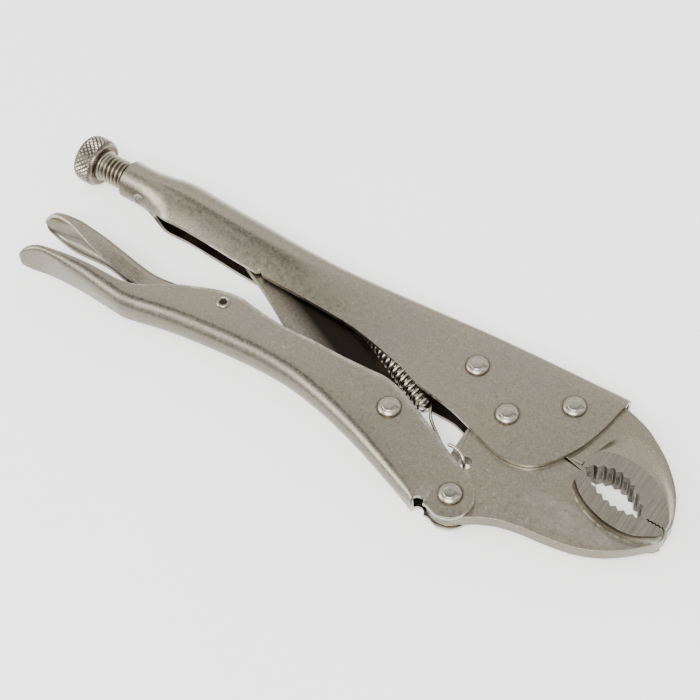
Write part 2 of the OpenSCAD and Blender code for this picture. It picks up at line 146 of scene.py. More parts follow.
def through(points, step, count=0):
    """Points on a smooth line through the given ones, by spacing or with count in each part."""
    p = [np.array(q, float) for q in points]
    p = [2 * p[0] - p[1]] + p + [2 * p[-1] - p[-2]]
    out = []
    for a, b, c, d in zip(p, p[1:], p[2:], p[3:]):
        n = count or max(1, int(np.linalg.norm(c - b) / step))
        for k in range(n):
            t = k / n
            out.append(0.5 * (2 * b + (c - a) * t + (2 * a - 5 * b + 4 * c - d) * t * t
                              + (3 * b - a - 3 * c + d) * t ** 3))
    return [tuple(q) for q in out + [p[-2]]]


def arc(c, r, start, end, n):
    """Points on a circle, angles in degrees."""
    angles = np.radians(np.linspace(start, end, n + 1))
    return [(c[0] + r * math.cos(a), c[1] + r * math.sin(a)) for a in angles]


def spaced(start, end, step, extra=()):
    """Stations from start to end, with extra ones added."""
    n = max(1, round((end - start) / step))
    xs = set(np.round(np.linspace(start, end, n + 1), 3)) | set(extra)
    return sorted(float(x) for x in xs)


def make(name, points, faces, centre=(0, 0, 0)):
    """A mesh object from plan points; centre is its own origin in the plan."""
    here = np.array(points, float) - np.array(centre, float)
    mesh = bpy.data.meshes.new(name)
    mesh.from_pydata((here / 1000).tolist(), [], faces)
    mesh.validate()
    bm = bmesh.new()
    bm.from_mesh(mesh)
    bmesh.ops.remove_doubles(bm, verts=bm.verts, dist=1e-7)
    bmesh.ops.recalc_face_normals(bm, faces=bm.faces)
    bm.to_mesh(mesh)
    bm.free()
    mesh.polygons.foreach_set("use_smooth", [True] * len(mesh.polygons))
    obj = bpy.data.objects.new(name, mesh)
    obj.location = (np.array(centre, float) - PLAN) / 1000
    bpy.context.scene.collection.objects.link(obj)
    return obj


def soften(obj, width, segments=3, angle=38):
    """Rounds the sharp edges by width in millimetres."""
    bevel = obj.modifiers.new("rounded_edges", "BEVEL")
    bevel.width = width / 1000
    bevel.segments = segments
    bevel.limit_method = "ANGLE"
    bevel.angle_limit = math.radians(angle)
    bevel.use_clamp_overlap = True
    bevel.miter_outer = "MITER_ARC"
    bevel.harden_normals = True
    return obj


def rimmed(obj, width):
    """Splits long seams and insets the large flat faces, so that edge wear stays at the rim."""
    bm = bmesh.new()
    bm.from_mesh(obj.data)
    seams = [e for e in bm.edges if e.calc_length() > 0.002 and len(e.link_faces) == 2
             and all(abs(f.normal.z) > 0.99 for f in e.link_faces)]
    bmesh.ops.subdivide_edges(bm, edges=seams, cuts=12)
    flat = [f for f in bm.faces if abs(f.normal.z) > 0.99 and len(f.verts) > 8]
    bmesh.ops.inset_individual(bm, faces=flat, thickness=width / 1000, use_even_offset=True)
    bm.to_mesh(obj.data)
    bm.free()
    return obj


def cut(obj, *tools):
    """Cuts the tools out of obj, then removes them."""
    for tool in tools:
        step = obj.modifiers.new("cut", "BOOLEAN")
        step.operation = "DIFFERENCE"
        step.solver = "EXACT"
        step.object = tool
    bpy.context.view_layer.update()
    evaluated = obj.evaluated_get(bpy.context.evaluated_depsgraph_get())
    mesh = bpy.data.meshes.new_from_object(evaluated)
    obj.modifiers.clear()
    obj.data = mesh
    for tool in tools:
        bpy.data.objects.remove(tool)
    return obj


def sweep(name, sections):
    """A sheet from sections, each its outer points and then its inner points."""
    ring = len(sections[0])
    n = ring // 2
    points = [p for s in sections for p in s]
    faces = []
    for s in range(len(sections) - 1):
        for i in range(ring):
            a, b = s * ring + i, s * ring + (i + 1) % ring
            faces.append((a, b, b + ring, a + ring))
    last = (len(sections) - 1) * ring
    for i in range(n - 1):
        o, p, q, r = i, i + 1, ring - 2 - i, ring - 1 - i
        faces += [(o, r, q, p), (last + o, last + p, last + q, last + r)]
    return make(name, points, faces)


def mark_faces(obj, sections):
    """Gives a sweep's inner faces material 1 and the sheared edges of its sheet material 2."""
    ring = len(sections[0])
    n = ring // 2
    rings = (np.array([p for s in sections for p in s]).reshape(len(sections), ring, 3) - PLAN) / 1000
    shift = np.array(obj.location)

    def spots(part):
        return {tuple(np.round(p, 6)) for p in part.reshape(-1, 3)}

    inner, lips = spots(rings[:, n:]), spots(rings[:, [0, n - 1, n, ring - 1]])
    places = [tuple(np.round(np.array(v.co) + shift, 6)) for v in obj.data.vertices]
    for face in obj.data.polygons:
        corners = [places[v] for v in face.vertices]
        if all(c in lips for c in corners):
            face.material_index = 2
        elif all(c in inner for c in corners):
            face.material_index = 1


def extruded(name, outline, low, high):
    """A plate from an outline in the plan between two heights."""
    n = len(outline)
    points = [(x, y, low) for x, y in outline] + [(x, y, high) for x, y in outline]
    faces = [tuple(range(n - 1, -1, -1)), tuple(range(n, 2 * n))]
    faces += [(i, (i + 1) % n, n + (i + 1) % n, n + i) for i in range(n)]
    obj = make(name, points, faces)
    for face in obj.data.polygons:
        face.use_smooth = abs(face.normal.z) < 0.5
    return obj


def peg(p, r, half=30, sides=48):
    """A round cutting tool across the sheet."""
    return extruded("tool", arc(p, r, 0, 360 - 360 / sides, sides - 1), -half, half)


def turned(name, profile, centre, sides=72, axis="z"):
    """A turned piece from (radius, along) points, about its own origin."""
    rows = []
    for r, h in profile:
        for k in range(sides):
            a = 2 * math.pi * k / sides
            c, s = r * math.cos(a), r * math.sin(a)
            rows.append((c, s, h) if axis == "z" else (h, c, s))
    points = np.array(rows) + np.array(centre, float)
    faces = []
    for i in range(len(profile) - 1):
        for k in range(sides):
            a, b = i * sides + k, i * sides + (k + 1) % sides
            faces.append((a, b, b + sides, a + sides))
    for i, h in ((0, 0), (len(profile) - 1, 1)):
        if profile[i][0] > 1e-6:
            ring = [i * sides + k for k in range(sides)]
            faces.append(tuple(ring if h else ring[::-1]))
    return make(name, points, faces, centre)


def tube(name, path, r, sides=12):
    """Round wire along a path."""
    path = np.array(path, float)
    n = len(path)
    tangents = np.gradient(path, axis=0)
    tangents /= np.linalg.norm(tangents, axis=1)[:, None]
    side = np.cross(tangents[0], (0, 0, 1.0))
    points = []
    for i in range(n):
        side = side - tangents[i] * (side @ tangents[i])
        side /= np.linalg.norm(side)
        up = np.cross(tangents[i], side)
        for k in range(sides):
            a = 2 * math.pi * k / sides
            points.append(path[i] + r * (side * math.cos(a) + up * math.sin(a)))
    faces = []
    for i in range(n - 1):
        for k in range(sides):
            a, b = i * sides + k, i * sides + (k + 1) % sides
            faces.append((a, b, b + sides, a + sides))
    faces += [tuple(range(sides - 1, -1, -1)), tuple(range((n - 1) * sides, n * sides))]
    return make(name, points, faces)


# ---------- pieces ----------
def rolled_half(half, lip, spine, edge, bend, curl):
    """Half a rolled section as (across, up) points, from its lip to the middle of its spine."""
    mid = spine - bend
    out = []
    for k in range(12):
        a = math.radians(90 - 90 * k / 12)
        out.append((lip + (half - lip) * max(0, math.cos(a)) ** curl, mid - (mid - edge) * math.sin(a)))
    for k in range(13):
        a = math.radians(90 * k / 12)
        out.append((half - bend + bend * math.cos(a), mid + bend * math.sin(a)))
    return out


def whole(x, outer, inner, near_outer=None, near_inner=None):
    """A whole section from its halves; the near half may differ from the far one."""
    near_outer, near_inner = near_outer or outer, near_inner or inner
    out = [(x, u, z) for z, u in near_outer] + [(x, u, -z) for z, u in reversed(outer[:-1])]
    ins = [(x, u, z) for z, u in near_inner] + [(x, u, -z) for z, u in reversed(inner[:-1])]
    return out + ins[::-1]


def body_section(x):
    """Section of the body: a closed tube at the rear that opens, from x 27, into a channel."""
    half, spine = smooth(BODY_HALF, x), smooth(BODY_SPINE, x)
    low = smooth(BODY_EDGE, x)
    bend, lip = min(smooth(BODY_BEND, x), half - 0.05), smooth(BODY_LIP, x)
    opened = min(1, max(0, (x - 27) / 10))
    curl = 1 + opened
    bend = min(bend, spine - low - 0.5)
    in_half, in_spine = half - SHEET, spine - SHEET
    in_bend = max(0.8, min(smooth(BODY_BEND, x), half) - SHEET)
    nick = 1.1 * math.exp(-((x - 79) / 0.8) ** 2)

    def halves(edge):
        in_low = edge + SHEET * (1 - opened)
        safe = min(in_bend, in_half - 0.05, in_spine - in_low - 0.4)
        return (rolled_half(half, lip, spine, edge, bend, curl),
                rolled_half(in_half, max(0.2, lip - SHEET), in_spine, in_low, safe, curl))

    def nicked(line):
        return [(z, max(u, low + nick)) for z, u in line]

    outer, inner = halves(low)
    far_outer, far_inner = halves(low - smooth(BODY_FAR, x))
    return whole(x, far_outer, far_inner, nicked(outer), nicked(inner))


def channel_section(x, half, spine, edge, bend, flip, near=None, far_bend=None):
    """Section of a straight-sided channel; flip turns it open side up, near is its near edge."""
    far_bend = far_bend or bend
    in_half, in_spine = half - SHEET, spine - SHEET

    def side(h, s, b, low):
        turn = [math.radians(90 * k / 12) for k in range(13)]
        wall = [low + (s - b - low) * t for t in (0, 0.08, 0.16, 0.4, 0.7)]
        return [(h, u) for u in wall] + [(h - b + b * math.cos(a), s - b + b * math.sin(a))
                                         for a in turn]

    def both(low, b):
        in_bend = max(0.3, min(b - SHEET, in_half - 0.2, in_spine - low - 0.2))
        return (side(half, spine, min(b, half - 0.2, spine - low - 0.3), low),
                side(in_half, in_spine, in_bend, low))

    points = whole(x, *both(edge, far_bend), *both(edge if near is None else near, bend))
    return [(a, -u, z) for a, u, z in points] if flip else points


def round_end(half, x, start, n):
    """Half width near a rounded end that begins at start and is n long."""
    return half * math.sqrt(max(0.01, 1 - (max(0, start + n - x) / n) ** 2))


def make_body():
    nick = spaced(77, 81, 0.4)
    xs = spaced(12.3, 212, 1.4, nick + spaced(205, 212, 0.5))
    sections = [body_section(x) for x in xs]
    shell = sweep("body_shell", sections)
    mark_faces(shell, sections)
    return soften(shell, 0.22)


def make_tab():
    outline = [(107.4, -1.4), (108.6, -1.4), (108.6, 6.2), (107.4, 6.2)]
    return soften(extruded("spring_anchor", outline, -2.4, 2.4), 0.2)


def make_stake():
    """Round stake mark that keeps the tube closed on the screw."""
    profile = [(2.35, -0.45), (2.3, 0), (2.1, 0.12), (1.85, 0.14), (1.65, 0.04), (1.3, -0.02),
               (0.6, 0.06), (0.001, 0.09)]
    obj = turned("tube_stake", profile, (0, 0, 0), 40)
    tilt = math.radians(104)
    place = np.array([21.6, -0.15 - 6.98 * math.sin(tilt), -6.98 * math.cos(tilt)])
    normal = Vector((0, -math.sin(tilt), -math.cos(tilt)))
    obj.rotation_mode = "QUATERNION"
    obj.rotation_quaternion = normal.to_track_quat("Z", "Y")
    obj.location = Vector((place - PLAN) / 1000)
    return obj


def make_handle():
    xs = spaced(1, 5, 0.4) + spaced(6, 168, 1.5) + spaced(169.5, 189.4, 0.6)
    sections = [channel_section(x, round_end(smooth(HANDLE_HALF, x), x, 0.1, 9.5),
                                -smooth(HANDLE_WEB, x), -smooth(HANDLE_RIM, x),
                                smooth(HANDLE_BEND, x), True) for x in xs]
    obj = sweep("lower_handle_shell", sections)
    slot = extruded("tool", [(172.6, -70), (200, -70), (200, -30), (172.6, -30)], -2.95, 2.95)
    cut(obj, slot, peg((173.7, -57), 2.1))
    mark_faces(obj, sections)
    return soften(obj, 0.22)


def make_lever():
    sections = []
    for x in spaced(-0.7, 4, 0.4) + spaced(5, 104, 1.5):
        half, web, edge = smooth(LEVER_HALF, x), smooth(LEVER_WEB, x), smooth(LEVER_EDGE, x)
        edge = max(edge, web - 1.75 - 0.9 * (x + 0.7))
        near = web - smooth(LEVER_NEAR, x) if x < 60 else edge
        bend = smooth(LEVER_BEND, x)
        dish = bend + 3.2 * math.exp(-((x - 22) / 18) ** 2)
        sections.append(channel_section(x, round_end(half, x, -1, 8.5), web, edge, bend, False,
                                        near, dish))
    obj = sweep("release_lever_shell", sections)
    mark_faces(obj, sections)
    # The far lip looks like the inside
    for face in obj.data.polygons:
        if face.material_index == 2 and face.center.z < 0:
            face.material_index = 1
    return soften(obj, 0.22)


def mouth_y(s):
    """Height of the line between the jaws, from the back of the mouth at 0 to the fine teeth at 1."""
    return -18.6 - 6.1 * s


def grip_line(rise, offset, teeth=9, depth=1.1):
    """A jaw's toothed line: coarse teeth on an arch, and then the fine teeth of the tip."""
    out = []
    for i in range(2 * teeth + 1):
        s = i / (2 * teeth)
        crest = 0 if i % 2 == 0 else math.copysign(depth, rise)
        out.append((211.6 + 26 * s, mouth_y(s) + rise * 4 * s * (1 - s) - crest))
    for i in range(1, 11):
        out.append((237.6 + 0.625 * i, -24.7 + offset + (0 if i % 2 == 0 else 0.45)))
    return out


def pad(name, teeth, edge, foot, low, half, profile):
    """A raised gripping pad: its toothed line is upright, its outer side runs from foot to edge."""
    n, fixed = len(teeth) + len(edge), len(teeth)
    rows = []
    for share, rise in profile:
        line = [(f[0] + (e[0] - f[0]) * share, f[1] + (e[1] - f[1]) * share)
                for e, f in zip(edge, foot)]
        rows.append((teeth + line, low + (half - low) * rise))
    rows = [(line, -z) for line, z in reversed(rows)] + rows
    points = [(x, y, z) for line, z in rows for x, y in line]
    last = (len(rows) - 1) * n
    faces = [tuple(range(n - 1, -1, -1)), tuple(range(last, last + n))]
    kinds = [1, 1]
    for r in range(len(rows) - 1):
        for i in range(n):
            j = (i + 1) % n
            faces.append((r * n + i, r * n + j, (r + 1) * n + j, (r + 1) * n + i))
            kinds.append(2 if i < fixed - 1 else 3)
    obj = make(name, points, faces)
    obj.data.polygons.foreach_set("material_index", kinds)
    obj.data.polygons.foreach_set("use_smooth", [kind != 1 for kind in kinds])
    return obj


def make_upper_jaw():
    grip = grip_line(7.6, 0.26)
    nose = through([(245, -20.3)] + UPPER_NOSE[::-1][1:], 1.2)
    outline = grip + [(245, -23.6)] + nose + [(211, 9.6), (165, 7.7)]
    outline += arc(RIVET_A, 7.6, 100, 215, 18) + arc(PIVOT_C, 10.35, 152, -2, 40) + [(206, -17.4)]
    plate = extruded("upper_jaw_plate", outline, -UPPER_HALF, UPPER_HALF)
    gentle = [(t / 8, (t / 8) ** 2 * (3 - t / 4)) for t in range(9)]
    raised = pad("upper_pad", grip + [(244.6, -24.1)], through(UPPER_PAD[::-1], 1, 8),
                 through(UPPER_FOOT[::-1], 1, 8), UPPER_HALF - 0.1, PAD_HALF, gentle)
    cutter = extruded("cutter", [(206.4, -17.1), (210.6, -17), (211.7, -13), (210.9, -11.6),
                                 (208.7, -11.2)], -3.6, 3.6)
    return [soften(rimmed(plate, 0.35), 0.25), soften(rimmed(raised, 0.2), 0.12), soften(cutter, 0.3)]


def make_lower_jaw():
    grip = grip_line(-4.4, -0.26)
    chin = through(LOWER_CHIN, 1.2)
    outline = grip[::-1] + [(206, -17.9)] + arc(PIVOT_C, 10, -6, 210, 48) + [(172.3, -26)]
    outline += arc(PIVOT_D, 7.9, 195, 322, 28) + chin[::-1] + [(244.9, -26.6), (245, -25.3)]
    plate = cut(extruded("lower_jaw_plate", outline, -LOWER_HALF, LOWER_HALF), peg(SPRING_HOLE, 2.35))
    steep = [(0, 0), (0.12, 0.06), (0.3, 0.18), (0.6, 0.5), (0.85, 0.86), (1, 1)]
    raised = pad("lower_pad", [(244.5, -26.2)] + grip[::-1], through(LOWER_PAD, 1, 8)[::-1],
                 through(LOWER_FOOT, 1, 8)[::-1], LOWER_HALF - 0.1, PAD_HALF, steep)
    return [soften(rimmed(plate, 0.4), 0.3), soften(rimmed(raised, 0.2), 0.12)]


def make_link():
    outline = arc((71.2, 0), 4.2, 180, 80, 14) + through(
        [(84, 0.4), (98, -5), (112, -10.8), (124, -15.4), (135, -20.4)], 2)
    outline += arc(PIVOT_E, 8.4, 95, -110, 36) + through(
        [(138, -39.4), (126, -37), (112, -30.6), (98.5, -23.6), (83.3, -15.4), (70.6, -9.8)], 2)
    plate = extruded("toggle_link_plate", outline + [(67.4, -7)], -LINK_HALF, LINK_HALF)
    return soften(rimmed(plate, 0.4), 0.3)


def make_rivet(name, p, half):
    """Solid rivet: two domed heads, each with a small flat crown."""
    dome = [(HEAD_R, 0), (HEAD_R, 0.3), (3.87, 0.42), (3.78, 0.56), (3.6, 0.72), (3.3, 0.92), (2.95, 1.1),
            (2.6, 1.24), (2.36, 1.31), (2.26, 1.35), (2.2, 1.42), (2.1, 1.47), (1.9, 1.5),
            (1.0, 1.5), (0.001, 1.49)]
    profile = [(r, -half - h) for r, h in reversed(dome)] + [(r, half + h) for r, h in dome]
    return turned(name, profile, (p[0], p[1], 0))


def make_tube_rivet(half):
    rim = [(0.001, 0.03), (1.25, 0.03), (1.32, 0.1), (1.45, 0.36), (1.65, 0.54), (1.9, 0.6),
           (2.2, 0.53), (2.45, 0.36), (2.58, 0.16), (2.62, 0), (1.9, 0), (1.9, -0.8)]
    profile = [(r, half + h) for r, h in rim] + [(r, -half - h) for r, h in reversed(rim)]
    obj = turned("tubular_rivet", profile, (*PIVOT_G, 0), 56)
    # The hollow takes material 1, the near-black painted shade of the inside
    for face in obj.data.polygons:
        if math.hypot(face.center.x, face.center.y) < 0.0013:
            face.material_index = 1
    return obj


def make_screw():
    """Shank with a rolled thread, from the collar to the rounded tip."""
    sides, pitch, step = 60, 1.75, 12
    start, end = 1.3, 60.8
    rows = []
    for x, r in ((-5.9, 3), (-0.23, 3), (-0.23, 5.7), (-0.1, 5.8), (0.85, 5.8), (0.98, 5.7), (1.1, 4.6)):
        rows.append([(x, r)] * sides)
    n = int((end - start) / pitch * step)
    for i in range(n + 1):
        x = start + (end - start) * i / n
        fade = min(1, (x - start) / 1.5, (end - x) / 1.5)
        row = []
        for k in range(sides):
            phase = (x / pitch - k / sides) % 1
            tooth = 1 - abs(2 * phase - 1)
            tooth = min(1, max(0, (tooth - 0.12) / 0.68))
            row.append((x, 5.28 - 0.95 * (1 - tooth) * fade))
        rows.append(row)
    for x, r in ((61.3, 4.9), (61.9, 4.3), (62.4, 3.6), (62.7, 2.2), (62.8, 0.6)):
        rows.append([(x, r)] * sides)
    points = []
    for row in rows:
        for k, (x, r) in enumerate(row):
            a = 2 * math.pi * k / sides
            points.append((x, r * math.cos(a), r * math.sin(a)))
    faces = [(i * sides + k, i * sides + (k + 1) % sides, (i + 1) * sides + (k + 1) % sides,
              (i + 1) * sides + k) for i in range(len(rows) - 1) for k in range(sides)]
    faces += [tuple(range(sides - 1, -1, -1)),
              tuple(range((len(rows) - 1) * sides, len(rows) * sides))]
    obj = make("threaded_screw", points, faces)
    obj.data.set_sharp_from_angle(angle=math.radians(55))
    return obj


def make_knob():
    """Knurled knob: raised diamonds between two plain chamfers, and a dished front."""
    diamonds, per, length = 30, 10, 6.1
    sides = diamonds * per
    rows_x = np.linspace(-7.05, -7.05 + length, 3 * per + 1)
    rows = [[(-7.6, 0.001)] * sides, [(-7.6, 5.2)] * sides, [(-8, 5.6)] * sides,
            [(-8, 7.9)] * sides, [(-7.85, 8.15)] * sides, [(-7.2, 8.42)] * sides]
    for i, x in enumerate(rows_x):
        ends = min(1, i / 2, (len(rows_x) - 1 - i) / 2)
        row = []
        for k in range(sides):
            u, v = k / per, i / per
            a, b = abs(((u + v) % 1) - 0.5) * 2, abs(((u - v) % 1) - 0.5) * 2
            height = min(1, 1.2 * min(a, b))
            row.append((x, 8.42 + 0.58 * height * ends))
        rows.append(row)
    for x, r in ((-0.85, 8.42), (-0.3, 8.1), (-0.08, 7.95), (0, 7.8), (0, 7.5), (-0.05, 7.3),
                 (-0.15, 7), (-0.22, 6.6), (-0.24, 6.2), (-0.24, 3)):
        rows.append([(x, r)] * sides)
    points = [(x, r * math.cos(2 * math.pi * k / sides), r * math.sin(2 * math.pi * k / sides))
              for row in rows for k, (x, r) in enumerate(row)]
    faces = [(i * sides + k, i * sides + (k + 1) % sides, (i + 1) * sides + (k + 1) % sides,
              (i + 1) * sides + k) for i in range(len(rows) - 1) for k in range(sides)]
    obj = make("knurled_knob", points, faces)
    obj.data.set_sharp_from_angle(angle=math.radians(40))
    return obj


def make_spring():
    """Extension spring with its hooks; the coil leans across from the tab to the lower jaw."""
    start, end, turns, r = np.array([115, -5.5]), np.array([156, -24.3]), 20, 2.4
    d = end - start
    n = np.array([-d[1], d[0]]) / np.linalg.norm(d)
    coil = []
    for i in range(turns * 28 + 1):
        s = i / (turns * 28)
        a = 2 * math.pi * turns * s
        c = start + d * s + n * r * math.cos(a)
        coil.append((c[0], c[1], r * math.sin(a)))
    rear = [(108.9, 2.3, 0), (107.6, 2, 0), (107.2, 0.9, 0), (108.4, 0.3, 0), (110.4, -1, 0.4),
            (113.4, -2.6, 0.2), coil[0]]
    front = [coil[-1], (158, -24.9, 0.4), (160.4, -27.6, -0.6), (168, -32.6, -2.6),
             (174, -35.2, -4.2), (177.6, -36.4, -4.1), (178.4, -36.7, -2), (178.5, -36.7, 2),
             (177.9, -36.1, 3.7), (176.6, -35.1, 4.5), (174.9, -34.4, 4.7), (172.9, -34, 4.5),
             (171, -34, 4.1)]
    path = through(rear, 0.35)[:-1] + coil + through(front, 0.35)[1:]
    return tube("coil_spring", path, 0.56)


# ---------- materials ----------
class Nodes:
    """Short hand for building one node tree."""

    def __init__(self, name):
        self.mat = bpy.data.materials.new(name)
        self.mat.use_nodes = True
        self.tree = self.mat.node_tree
        self.tree.nodes.clear()
        self.out = self.add("ShaderNodeOutputMaterial")
        self.shader = self.add("ShaderNodeBsdfPrincipled")
        self.join(self.shader.outputs[0], self.out.inputs[0])
        self.place = self.add("ShaderNodeTexCoord").outputs["Object"]

    def add(self, kind, **values):
        node = self.tree.nodes.new(kind)
        for key, value in values.items():
            setattr(node, key, value)
        return node

    def join(self, a, b):
        self.tree.links.new(a, b)

    def put(self, value, socket):
        if isinstance(value, (int, float, tuple)):
            socket.default_value = value
        else:
            self.join(value, socket)

    def noise(self, scale, detail=3, rough=0.6, stretch=None, seed=0.0):
        node = self.add("ShaderNodeTexNoise")
        node.inputs["Scale"].default_value = scale
        node.inputs["Detail"].default_value = detail
        node.inputs["Roughness"].default_value = rough
        move = self.add("ShaderNodeMapping")
        move.inputs["Location"].default_value = (seed, seed * 0.7, seed * 0.3)
        if stretch:
            move.inputs["Scale"].default_value = stretch
        self.join(self.place, move.inputs["Vector"])
        self.join(move.outputs[0], node.inputs["Vector"])
        return node.outputs["Fac"]

    def math(self, how, a, b=0.5, clamp=False):
        node = self.add("ShaderNodeMath", operation=how, use_clamp=clamp)
        self.put(a, node.inputs[0])
        self.put(b, node.inputs[1])
        return node.outputs[0]

    def span(self, value, low, high, to_low=0.0, to_high=1.0):
        node = self.add("ShaderNodeMapRange", clamp=True)
        self.put(value, node.inputs["Value"])
        for name, v in (("From Min", low), ("From Max", high), ("To Min", to_low),
                        ("To Max", to_high)):
            node.inputs[name].default_value = v
        return node.outputs[0]

    def mix(self, share, a, b):
        node = self.add("ShaderNodeMix", data_type="RGBA")
        self.put(share, node.inputs[0])
        self.put(a if not isinstance(a, tuple) else (*a, 1), node.inputs[6])
        self.put(b if not isinstance(b, tuple) else (*b, 1), node.inputs[7])
        return node.outputs[2]

    def scaled(self, colour, factor):
        node = self.add("ShaderNodeVectorMath", operation="SCALE")
        self.put(colour, node.inputs[0])
        self.put(factor, node.inputs["Scale"])
        return node.outputs[0]

    def worn(self, low=0.55, high=0.66):
        """Share of wear on convex edges."""
        edge = self.add("ShaderNodeNewGeometry").outputs["Pointiness"]
        return self.math("MULTIPLY", self.span(edge, low, high), self.span(self.noise(160), 0.3, 0.6))

    def across(self, way, origin):
        """Distance in millimetres from a plan point, measured along a unit direction."""
        move = self.add("ShaderNodeVectorMath", operation="SUBTRACT")
        self.join(self.place, move.inputs[0])
        move.inputs[1].default_value = tuple(np.array(origin, float) / 1000)
        dot = self.add("ShaderNodeVectorMath", operation="DOT_PRODUCT")
        self.join(move.outputs[0], dot.inputs[0])
        dot.inputs[1].default_value = way
        return self.math("MULTIPLY", dot.outputs["Value"], 1000)

    def near(self, points, inner, outer):
        """1 near any of the plan points in the x-y plane and 0 beyond outer, in millimetres."""
        split = self.add("ShaderNodeSeparateXYZ")
        self.join(self.place, split.inputs[0])
        total = None
        for x, y in points:
            dx = self.math("SUBTRACT", split.outputs[0], x / 1000)
            dy = self.math("SUBTRACT", split.outputs[1], y / 1000)
            away = self.math("SQRT", self.math("ADD", self.math("MULTIPLY", dx, dx),
                                               self.math("MULTIPLY", dy, dy)))
            here = self.span(away, inner / 1000, outer / 1000, 1.0, 0.0)
            total = here if total is None else self.math("MAXIMUM", total, here)
        return total

    def finish(self, colour, rough, heights, metal=1.0, specular=0.5):
        """Sets the shader; heights are (value, distance in metres, strength) for the bump."""
        self.put(colour if not isinstance(colour, tuple) else (*colour, 1),
                 self.shader.inputs["Base Color"])
        self.put(rough, self.shader.inputs["Roughness"])
        self.put(metal, self.shader.inputs["Metallic"])
        self.shader.inputs["Specular IOR Level"].default_value = specular
        normal = None
        for value, distance, strength in heights:
            bump = self.add("ShaderNodeBump")
            bump.inputs["Strength"].default_value = strength
            bump.inputs["Distance"].default_value = distance
            self.join(value, bump.inputs["Height"])
            if normal is not None:
                self.join(normal, bump.inputs["Normal"])
            normal = bump.outputs[0]
        self.join(normal, self.shader.inputs["Normal"])
        return self.mat


def satin(name, base, rough=0.3, grain=0.2, rivet_ring_shade=(), seed=0.0, shade=None, streak=None):
    """Satin nickel plate over bead-blasted steel. Painted shade darkens the downward sides, brown rings
    round the rivet heads and the far side of shade's line (way, origin, start, end); streak's band
    of leaning sides is a painted dark reflection.
    """
    n = Nodes(name)
    fine, mid, broad = n.noise(1700, 3, 0.7, seed=seed), n.noise(650, 3, seed=seed), n.noise(38, 4)
    tone = n.math("ADD", n.span(fine, 0.3, 0.7, 1 - grain, 1 + grain),
                  n.span(mid, 0.3, 0.7, -0.05, 0.05))
    tone = n.math("ADD", tone, n.span(broad, 0.3, 0.7, -0.05, 0.05))
    tone = n.math("ADD", tone, n.span(n.noise(1250, 2, seed=seed + 1.3), 0.62, 0.74, 0, 0.6))
    colour = n.scaled(n.mix(n.span(broad, 0.35, 0.7), base, tuple(v * w for v, w in
                      zip(base, (0.97, 0.95, 0.9)))), tone)
    if rivet_ring_shade:
        # Painted brown shade in a ring round the base of each rivet head
        ring = n.math("MULTIPLY", n.near(rivet_ring_shade, 3.95, 4.7), n.span(n.noise(260), 0.3, 0.62, 0.4, 0.9))
        colour = n.mix(ring, colour, (0.075, 0.055, 0.03))
    if shade:
        # Painted shade: near-black past shade's line
        way, origin, start, end = shade
        dark = n.span(n.across(way, origin), start, end)
        colour = n.mix(n.math("MULTIPLY", dark, 0.96), colour, (0.008, 0.006, 0.004))
    facing = n.add("ShaderNodeSeparateXYZ")
    n.join(n.add("ShaderNodeTexCoord").outputs["Normal"], facing.inputs[0])
    lean = facing.outputs[1]
    # Painted shade: sides that face -y are darkened to as little as 0.6
    colour = n.scaled(colour, n.span(lean, -0.9, -0.35, 0.6, 1.0))
    if streak:
        # The streak is a painted dark reflection: a grainy band on leaning sides, faded at both ends
        # along x
        start, full, fade, end, first, last = streak
        along = n.across((1, 0, 0), (0, 0, 0))
        dark = n.math("MULTIPLY", n.span(lean, full, start, 1, 0), n.span(lean, end, fade))
        dark = n.math("MULTIPLY", dark, n.span(along, first, first + 12))
        dark = n.math("MULTIPLY", dark, n.span(along, last - 14, last, 1, 0))
        dark = n.math("MULTIPLY", dark, n.span(n.noise(1500, 3, 0.75), 0.38, 0.62, 0.35, 1.0))
        colour = n.mix(n.math("MULTIPLY", dark, 0.68), colour, (0.04, 0.036, 0.03))
    wear = n.worn()
    colour = n.mix(n.math("MULTIPLY", wear, 0.6), colour, (0.6, 0.57, 0.5))
    roughness = n.math("ADD", n.span(mid, 0.3, 0.7, rough - 0.05, rough + 0.07),
                       n.math("MULTIPLY", wear, -0.12))
    return n.finish(colour, roughness, [(mid, 0.0001, 0.1), (fine, 0.00005, 0.5)])


def sheet_metal(name, streak):
    """Plated sheet with a painted dark reflection streak: four leans of its side, then its ends along x.
    """
    return satin(name, (0.3, 0.275, 0.222), rivet_ring_shade=(RIVET_A, RIVET_B, PIVOT_C, PIVOT_D, PIVOT_E),
                 streak=streak)


def cut_edge():
    """Sheared edge of the sheet: dark oily steel, bright where its corners have rubbed."""
    n = Nodes("cut_edge")
    fine, patch = n.noise(1600, 3), n.noise(240, 4)
    colour = n.mix(n.span(patch, 0.35, 0.65), (0.13, 0.11, 0.075), (0.22, 0.195, 0.15))
    colour = n.scaled(colour, n.span(fine, 0.3, 0.7, 0.8, 1.2))
    colour = n.mix(n.math("MULTIPLY", n.worn(0.52, 0.6), 0.8), colour, (0.62, 0.58, 0.5))
    return n.finish(colour, n.span(patch, 0.3, 0.7, 0.28, 0.42), [(fine, 0.00008, 0.5)])


def shade_black_inside():
    """Unpolished inside of the folded sheet, painted near-black as shade."""
    n = Nodes("shade_black_inside")
    fine, patch = n.noise(1600, 3), n.noise(90, 4)
    # Painted shade: the inside is made near-black
    colour = n.mix(n.span(patch, 0.35, 0.65), (0.012, 0.009, 0.006), (0.055, 0.042, 0.026))
    colour = n.scaled(colour, n.span(fine, 0.3, 0.7, 0.7, 1.3))
    return n.finish(colour, n.span(patch, 0.3, 0.7, 0.35, 0.6), [(fine, 0.0001, 0.5)], 0.85)


